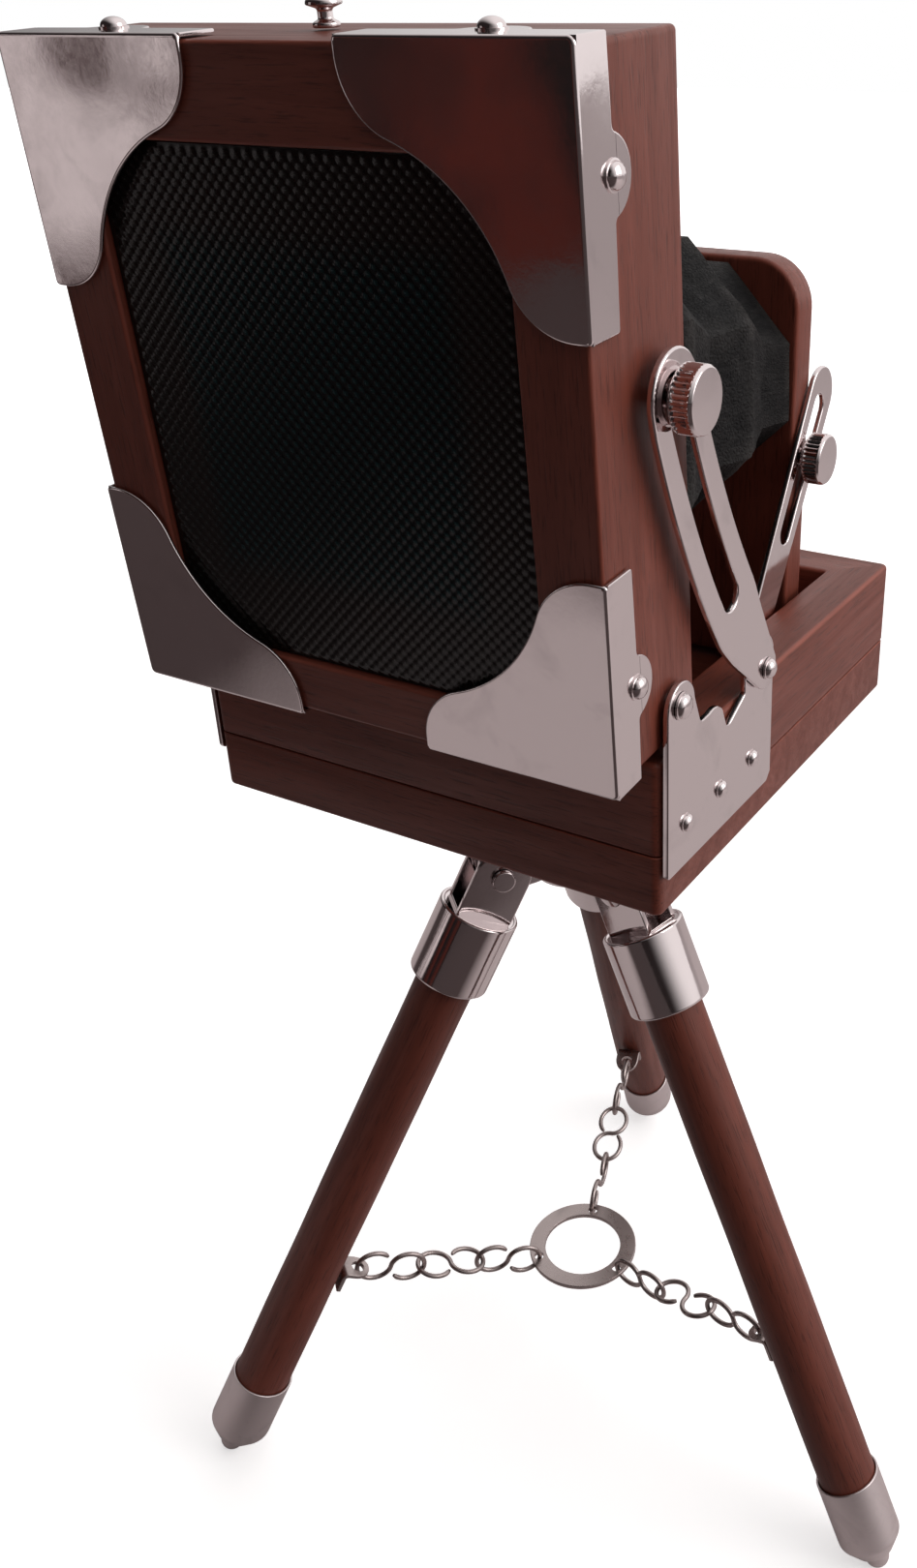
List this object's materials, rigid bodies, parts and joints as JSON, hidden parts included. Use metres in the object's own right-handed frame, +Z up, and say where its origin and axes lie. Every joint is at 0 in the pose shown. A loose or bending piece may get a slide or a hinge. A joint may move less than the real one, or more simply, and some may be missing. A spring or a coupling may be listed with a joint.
{
  "type": "view camera",
  "caption": "Miniature wooden folding view camera with leather bellows, metal corners and slotted struts on a wooden tripod with a chain spreader.",
  "frame": {"origin": "on the ground under the middle of the camera's overall box, with the tripod standing on its three feet", "axes": "+Z up, -Y the way the lens looks, +X to the right of someone facing the lens"},
  "size_m": [0.1516, 0.1556, 0.3046],
  "materials": {
    "mahogany": "red-brown stained hardwood, satin",
    "dowel_wood": "dark stained turned hardwood, satin",
    "dark_wood": "dark stained wood, matt",
    "nickel": "polished nickel plate",
    "satin_nickel": "satin nickel plate",
    "chain_steel": "dull plated steel wire and sheet",
    "leather": "black grained leather",
    "patterned_glass": "pressed diamond pattern",
    "lens_glass": "polished"
  },
  "bodies": {
    "hub": {"tripod_hub": "nickel", "leg_pin_1": "nickel", "leg_pin_2": "nickel", "leg_pin_3": "nickel"},
    "bed": {"tray_floor": "mahogany", "tray_rim": "mahogany", "side_plate_left": "nickel", "side_plate_right": "nickel", "frame_pivot_left": "nickel", "frame_pivot_right": "nickel", "rear_strut_rivet_left": "nickel", "rear_strut_rivet_right": "nickel", "front_strut_rivet_left": "nickel", "front_strut_rivet_right": "nickel", "standard_hinge_rod": "nickel", "bellows": "leather"},
    "rear_frame": {"rear_frame": "mahogany", "light_shield": "dark_wood", "ground_glass": "patterned_glass", "corner_bottom_left": "nickel", "corner_bottom_right": "nickel", "corner_top_left": "nickel", "corner_top_right": "nickel", "top_knob": "nickel"},
    "rear_struts": {"rear_strut_left": "nickel", "rear_strut_right": "nickel"},
    "rear_knob_left": {"rear_knob_left": "nickel"},
    "rear_knob_right": {"rear_knob_right": "nickel"},
    "front_standard": {"front_standard": "mahogany", "lens_flange": "nickel", "lens_barrel": "nickel", "front_lens": "lens_glass"},
    "front_struts": {"front_strut_left": "nickel", "front_strut_right": "nickel"},
    "front_knob_left": {"front_knob_left": "nickel"},
    "front_knob_right": {"front_knob_right": "nickel"},
    "lens_ring": {"lens_ring": "nickel"},
    "spreader": {"spreader_ring": "chain_steel"},
    "leg_1": {"leg_socket_1": "nickel", "leg_dowel_1": "dowel_wood", "foot_cap_1": "satin_nickel", "chain_tab_1": "chain_steel"},
    "chain_1": {"chain_link_1_1": "chain_steel", "chain_link_1_2": "chain_steel", "chain_link_1_3": "chain_steel"},
    "leg_2": {"leg_socket_2": "nickel", "leg_dowel_2": "dowel_wood", "foot_cap_2": "satin_nickel", "chain_tab_2": "chain_steel"},
    "chain_2": {"chain_link_2_1": "chain_steel", "chain_link_2_2": "chain_steel", "chain_link_2_3": "chain_steel"},
    "leg_3": {"leg_socket_3": "nickel", "leg_dowel_3": "dowel_wood", "foot_cap_3": "satin_nickel", "chain_tab_3": "chain_steel"},
    "chain_3": {"chain_link_3_1": "chain_steel", "chain_link_3_2": "chain_steel", "chain_link_3_3": "chain_steel"}
  },
  "joints": [
    {"name": "pan", "type": "hinge", "parent": "hub", "child": "bed", "pos_m": [0.01282, 0.00866, 0.17273], "axis": [0, 0, 1], "continuous": true},
    {"name": "rear_frame_fold", "type": "hinge", "parent": "bed", "child": "rear_frame", "pos_m": [0.01282, 0.05036, 0.20913], "axis": [1, 0, 0], "range_deg": [0, 35], "deforming": ["bellows"]},
    {"name": "rear_strut_swing", "type": "hinge", "parent": "bed", "child": "rear_struts", "pos_m": [0.01282, 0.02186, 0.20413], "axis": [1, 0, 0], "range_deg": [0, 28.6]},
    {"name": "front_standard_tilt", "type": "hinge", "parent": "bed", "child": "front_standard", "pos_m": [0.01282, -0.02199, 0.18883], "axis": [1, 0, 0], "range_deg": [-10, 8], "deforming": ["bellows"]},
    {"name": "front_strut_swing", "type": "hinge", "parent": "bed", "child": "front_struts", "pos_m": [0.01282, 0.00226, 0.18873], "axis": [1, 0, 0], "range_deg": [-7.7, 6.2]},
    {"name": "rear_knob_left_turn", "type": "hinge", "parent": "rear_frame", "child": "rear_knob_left", "pos_m": [0.01282, 0.05491, 0.25666], "axis": [1, 0, 0], "range_deg": [0, 180]},
    {"name": "front_knob_left_turn", "type": "hinge", "parent": "front_standard", "child": "front_knob_left", "pos_m": [0.01282, -0.02199, 0.22723], "axis": [1, 0, 0], "range_deg": [0, 180]},
    {"name": "rear_knob_right_turn", "type": "hinge", "parent": "rear_frame", "child": "rear_knob_right", "pos_m": [0.01282, 0.05491, 0.25666], "axis": [-1, 0, 0], "range_deg": [0, 180]},
    {"name": "front_knob_right_turn", "type": "hinge", "parent": "front_standard", "child": "front_knob_right", "pos_m": [0.01282, -0.02199, 0.22723], "axis": [-1, 0, 0], "range_deg": [0, 180]},
    {"name": "lens_ring_turn", "type": "hinge", "parent": "front_standard", "child": "lens_ring", "pos_m": [0.01282, -0.02199, 0.24173], "axis": [0, -1, 0], "range_deg": [-60, 60]},
    {"name": "leg_1_fold", "type": "hinge", "parent": "hub", "child": "leg_1", "pos_m": [0.02313, 0.02011, 0.14513], "axis": [-0.7431, 0.6691, 0], "range_deg": [0, 22]},
    {"name": "leg_2_fold", "type": "hinge", "parent": "hub", "child": "leg_2", "pos_m": [-0.00224, 0.01187, 0.14513], "axis": [-0.2079, -0.9781, 0], "range_deg": [0, 22]},
    {"name": "leg_3_fold", "type": "hinge", "parent": "hub", "child": "leg_3", "pos_m": [0.01758, -0.00598, 0.14513], "axis": [0.9511, 0.309, 0], "range_deg": [0, 22]},
    {"name": "chain_1_swing", "type": "hinge", "parent": "leg_1", "child": "chain_1", "pos_m": [0.04863, 0.04844, 0.04525], "axis": [-0.7431, 0.6691, 0], "range_deg": [-93.7, 0], "deforming": ["chain_link_1_1", "chain_link_1_2", "chain_link_1_3"]},
    {"name": "chain_2_swing", "type": "hinge", "parent": "leg_2", "child": "chain_2", "pos_m": [-0.03953, 0.01979, 0.04525], "axis": [-0.2079, -0.9781, 0], "range_deg": [-93.7, 0], "deforming": ["chain_link_2_1", "chain_link_2_2", "chain_link_2_3"]},
    {"name": "chain_3_swing", "type": "hinge", "parent": "leg_3", "child": "chain_3", "pos_m": [0.02936, -0.04224, 0.04525], "axis": [0.9511, 0.309, 0], "range_deg": [-93.7, 0], "deforming": ["chain_link_3_1", "chain_link_3_2", "chain_link_3_3"]},
    {"name": "spreader_drop", "type": "slide", "parent": "hub", "child": "spreader", "axis": [0, 0, -1], "range_m": [0, 0.0396]}
  ],
  "couplings": [
    {"joint": "rear_strut_swing", "follows": "rear_frame_fold", "ratio": 0.804},
    {"joint": "front_strut_swing", "follows": "front_standard_tilt", "ratio": 0.7175},
    {"joint": "leg_2_fold", "follows": "leg_1_fold", "ratio": 1},
    {"joint": "leg_3_fold", "follows": "leg_1_fold", "ratio": 1},
    {"joint": "chain_1_swing", "follows": "leg_1_fold", "ratio": -4.2363},
    {"joint": "chain_2_swing", "follows": "leg_1_fold", "ratio": -4.2363},
    {"joint": "chain_3_swing", "follows": "leg_1_fold", "ratio": -4.2363},
    {"joint": "spreader_drop", "follows": "leg_1_fold", "m_per_rad": 0.10188}
  ]
}
